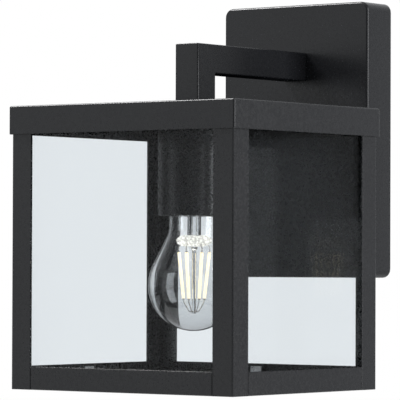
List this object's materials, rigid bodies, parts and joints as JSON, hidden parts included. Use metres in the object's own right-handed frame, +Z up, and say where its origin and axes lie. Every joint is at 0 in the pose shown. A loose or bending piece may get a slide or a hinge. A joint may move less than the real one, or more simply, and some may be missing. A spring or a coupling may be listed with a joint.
{
  "type": "outdoor wall lantern",
  "caption": "Black wall lantern: a glazed square-angle cage under a flat lid, hung from a square arm on a deep wall plate, with a clear filament bulb.",
  "frame": {"origin": "on the wall surface, behind the centre of the wall plate", "axes": "+Z up; +Y into the wall, so the lantern stands out along -Y; +X to the right of someone who stands in front of the lantern and faces the wall"},
  "size_m": [0.1834, 0.2202, 0.259],
  "materials": {
    "black_powder_coat": "satin textured powder coat",
    "clear_glass": "clear, polished",
    "zinc_plate": "bright zinc plate",
    "brass": "pressed, plain",
    "nickel": "nickel plate",
    "porcelain": "glazed ceramic",
    "black_insulation": "wire insulation",
    "white_insulation": "wire insulation",
    "green_insulation": "wire insulation",
    "green_plate": "green plated screw",
    "orange_plastic": "moulded plastic",
    "base_glass": "vitrite",
    "phosphor": "lit filament coating"
  },
  "bodies": {
    "lantern": {"wall_plate": "black_powder_coat", "plate_screw_top": "black_powder_coat", "plate_screw_bottom": "black_powder_coat", "arm": "black_powder_coat", "cap": "black_powder_coat", "socket_cup": "black_powder_coat", "post_front_left": "black_powder_coat", "post_front_right": "black_powder_coat", "post_rear_left": "black_powder_coat", "post_rear_right": "black_powder_coat", "bottom_rail_front": "black_powder_coat", "bottom_rail_right": "black_powder_coat", "bottom_rail_rear": "black_powder_coat", "bottom_rail_left": "black_powder_coat", "top_channel_front": "black_powder_coat", "top_channel_right": "black_powder_coat", "top_channel_rear": "black_powder_coat", "top_channel_left": "black_powder_coat", "mounting_bracket": "zinc_plate", "plate_ground_stud": "zinc_plate", "plate_ground_nut": "zinc_plate", "arm_insert": "zinc_plate", "top_nipple": "zinc_plate", "cup_nut": "zinc_plate", "clip_screw_front": "zinc_plate", "clip_screw_right": "zinc_plate", "clip_screw_rear": "zinc_plate", "clip_screw_left": "zinc_plate", "bracket_ground_screw": "green_plate", "ground_wire": "green_insulation", "pane_front": "clear_glass", "pane_right": "clear_glass", "pane_rear": "clear_glass", "pane_left": "clear_glass", "socket_body": "porcelain", "socket_shell": "brass", "socket_contact": "brass", "live_wire": "black_insulation", "neutral_wire": "white_insulation", "wire_nut_live": "orange_plastic", "wire_nut_neutral": "orange_plastic"},
    "bulb": {"bulb_glass": "clear_glass", "bulb_base": "nickel", "bulb_insulator": "base_glass", "bulb_contact": "nickel", "bulb_stem": "clear_glass", "filament_hub": "nickel", "filament_1": "phosphor", "filament_2": "phosphor", "filament_3": "phosphor", "filament_4": "phosphor", "filament_5": "phosphor", "filament_6": "phosphor"},
    "clip_front": {"pane_clip_front": "zinc_plate"},
    "clip_right": {"pane_clip_right": "zinc_plate"},
    "clip_rear": {"pane_clip_rear": "zinc_plate"},
    "clip_left": {"pane_clip_left": "zinc_plate"}
  },
  "joints": [
    {"name": "bulb_unscrew", "type": "hinge", "parent": "lantern", "child": "bulb", "pos_m": [0, -0.14, -0.021], "axis": [0, 0, -1], "range_deg": [0, 1800]},
    {"name": "clip_front_turn", "type": "hinge", "parent": "lantern", "child": "clip_front", "pos_m": [0, -0.208, -0.1642], "axis": [0, 0, 1], "range_deg": [0, 90]},
    {"name": "clip_right_turn", "type": "hinge", "parent": "lantern", "child": "clip_right", "pos_m": [0.0795, -0.14, -0.1642], "axis": [0, 0, 1], "range_deg": [0, 90]},
    {"name": "clip_rear_turn", "type": "hinge", "parent": "lantern", "child": "clip_rear", "pos_m": [0, -0.072, -0.1642], "axis": [0, 0, 1], "range_deg": [0, 90]},
    {"name": "clip_left_turn", "type": "hinge", "parent": "lantern", "child": "clip_left", "pos_m": [-0.0795, -0.14, -0.1642], "axis": [0, 0, 1], "range_deg": [0, 90]}
  ]
}
